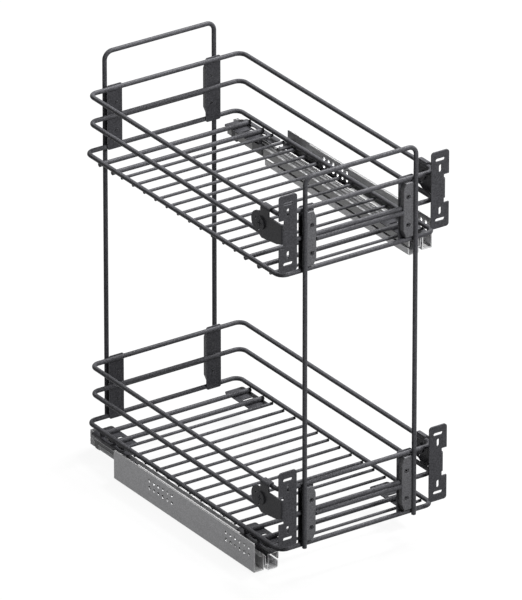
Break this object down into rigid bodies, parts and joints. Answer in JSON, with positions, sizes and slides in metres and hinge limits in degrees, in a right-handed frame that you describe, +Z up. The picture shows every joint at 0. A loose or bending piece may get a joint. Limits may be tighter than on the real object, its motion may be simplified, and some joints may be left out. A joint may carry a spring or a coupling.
{
  "type": "two-tier pull-out basket",
  "caption": "Tall wire storage baskets one above the other in end frames, on side-mounted soft-closing runners, with slotted brackets for a cabinet door.",
  "frame": {"origin": "middle of the bounding box's floor, at the foot of the lower runner", "axes": "+X across the cabinet to the right as seen from the door, +Y to the cabinet's back, +Z up; the door side faces -Y"},
  "size_m": [0.264, 0.453, 0.5438],
  "materials": {
    "anthracite_coat": "satin",
    "black_steel": "satin",
    "screw_black": "satin",
    "zinc_steel": "satin",
    "cage_steel": "satin",
    "ball_steel": "polished",
    "spring_steel": "satin",
    "black_plastic": "matte",
    "catch_plastic": "matte",
    "damper_plastic": "satin"
  },
  "bodies": {
    "cabinet_rails": {"lower_cabinet_member": "zinc_steel", "lower_soft_close_housing": "black_plastic", "lower_damper": "damper_plastic", "lower_closing_spring": "spring_steel", "upper_cabinet_member": "zinc_steel", "upper_soft_close_housing": "black_plastic", "upper_damper": "damper_plastic", "upper_closing_spring": "spring_steel"},
    "carriage": {"lower_bottom_rim": "anthracite_coat", "lower_middle_rim": "anthracite_coat", "lower_top_rim": "anthracite_coat", "lower_floor_wires": "anthracite_coat", "lower_floor_bearers": "anthracite_coat", "lower_clamp_plates": "anthracite_coat", "lower_front_clamp_covers": "anthracite_coat", "lower_rear_clamp_covers": "anthracite_coat", "lower_left_door_bracket": "anthracite_coat", "lower_right_door_bracket": "anthracite_coat", "lower_runner_plates": "anthracite_coat", "lower_drawer_member": "zinc_steel", "lower_couplings": "black_plastic", "lower_rail_end_block": "black_plastic", "lower_catch_arm": "black_plastic", "upper_bottom_rim": "anthracite_coat", "upper_middle_rim": "anthracite_coat", "upper_top_rim": "anthracite_coat", "upper_floor_wires": "anthracite_coat", "upper_floor_bearers": "anthracite_coat", "upper_clamp_plates": "anthracite_coat", "upper_front_clamp_covers": "anthracite_coat", "upper_rear_clamp_covers": "anthracite_coat", "upper_left_door_bracket": "anthracite_coat", "upper_right_door_bracket": "anthracite_coat", "upper_runner_plates": "anthracite_coat", "upper_drawer_member": "zinc_steel", "upper_couplings": "black_plastic", "upper_rail_end_block": "black_plastic", "upper_catch_arm": "black_plastic", "lower_spare_plates": "anthracite_coat", "front_tie_wires": "anthracite_coat", "rear_tie_wires": "anthracite_coat", "front_frame": "anthracite_coat", "rear_frame": "anthracite_coat", "clamp_screws": "screw_black"},
    "lower_middle": {"lower_middle_member": "zinc_steel"},
    "lower_outer_cage": {"lower_outer_cage": "cage_steel", "lower_outer_balls": "ball_steel"},
    "lower_inner_cage": {"lower_inner_cage": "cage_steel", "lower_inner_balls": "ball_steel"},
    "lower_soft_close_catch": {"lower_soft_close_catch": "catch_plastic"},
    "lower_left_cam": {"lower_left_cam": "black_steel"},
    "lower_right_cam": {"lower_right_cam": "black_steel"},
    "upper_middle": {"upper_middle_member": "zinc_steel"},
    "upper_outer_cage": {"upper_outer_cage": "cage_steel", "upper_outer_balls": "ball_steel"},
    "upper_inner_cage": {"upper_inner_cage": "cage_steel", "upper_inner_balls": "ball_steel"},
    "upper_soft_close_catch": {"upper_soft_close_catch": "catch_plastic"},
    "upper_left_cam": {"upper_left_cam": "black_steel"},
    "upper_right_cam": {"upper_right_cam": "black_steel"}
  },
  "joints": [
    {"name": "basket_slide", "type": "slide", "parent": "cabinet_rails", "child": "carriage", "axis": [0, -1, 0], "range_m": [0, 0.38]},
    {"name": "lower_middle_slide", "type": "slide", "parent": "cabinet_rails", "child": "lower_middle", "axis": [0, -1, 0], "range_m": [0, 0.19]},
    {"name": "lower_outer_cage_slide", "type": "slide", "parent": "cabinet_rails", "child": "lower_outer_cage", "axis": [0, -1, 0], "range_m": [0, 0.095]},
    {"name": "lower_inner_cage_slide", "type": "slide", "parent": "cabinet_rails", "child": "lower_inner_cage", "axis": [0, -1, 0], "range_m": [0, 0.285]},
    {"name": "lower_catch_slide", "type": "slide", "parent": "cabinet_rails", "child": "lower_soft_close_catch", "axis": [0, -1, 0], "range_m": [0, 0.036], "stiffness_N_per_m": 150, "springref_m": -0.02, "deforming": ["lower_closing_spring"]},
    {"name": "lower_left_cam_turn", "type": "hinge", "parent": "carriage", "child": "lower_left_cam", "pos_m": [-0.1212, -0.181, 0.1029], "axis": [1, 0, 0], "range_deg": [-90, 90]},
    {"name": "lower_right_cam_turn", "type": "hinge", "parent": "carriage", "child": "lower_right_cam", "pos_m": [0.1212, -0.181, 0.1029], "axis": [1, 0, 0], "range_deg": [-90, 90]},
    {"name": "upper_middle_slide", "type": "slide", "parent": "cabinet_rails", "child": "upper_middle", "axis": [0, -1, 0], "range_m": [0, 0.19]},
    {"name": "upper_outer_cage_slide", "type": "slide", "parent": "cabinet_rails", "child": "upper_outer_cage", "axis": [0, -1, 0], "range_m": [0, 0.095]},
    {"name": "upper_inner_cage_slide", "type": "slide", "parent": "cabinet_rails", "child": "upper_inner_cage", "axis": [0, -1, 0], "range_m": [0, 0.285]},
    {"name": "upper_catch_slide", "type": "slide", "parent": "cabinet_rails", "child": "upper_soft_close_catch", "axis": [0, -1, 0], "range_m": [0, 0.036], "stiffness_N_per_m": 150, "springref_m": -0.02, "deforming": ["upper_closing_spring"]},
    {"name": "upper_left_cam_turn", "type": "hinge", "parent": "carriage", "child": "upper_left_cam", "pos_m": [-0.1212, -0.181, 0.4766], "axis": [1, 0, 0], "range_deg": [-90, 90]},
    {"name": "upper_right_cam_turn", "type": "hinge", "parent": "carriage", "child": "upper_right_cam", "pos_m": [0.1212, -0.181, 0.4766], "axis": [1, 0, 0], "range_deg": [-90, 90]}
  ],
  "couplings": [
    {"joint": "lower_middle_slide", "follows": "basket_slide", "ratio": 0.5},
    {"joint": "lower_outer_cage_slide", "follows": "basket_slide", "ratio": 0.25},
    {"joint": "lower_inner_cage_slide", "follows": "basket_slide", "ratio": 0.75},
    {"joint": "upper_middle_slide", "follows": "basket_slide", "ratio": 0.5},
    {"joint": "upper_outer_cage_slide", "follows": "basket_slide", "ratio": 0.25},
    {"joint": "upper_inner_cage_slide", "follows": "basket_slide", "ratio": 0.75}
  ]
}
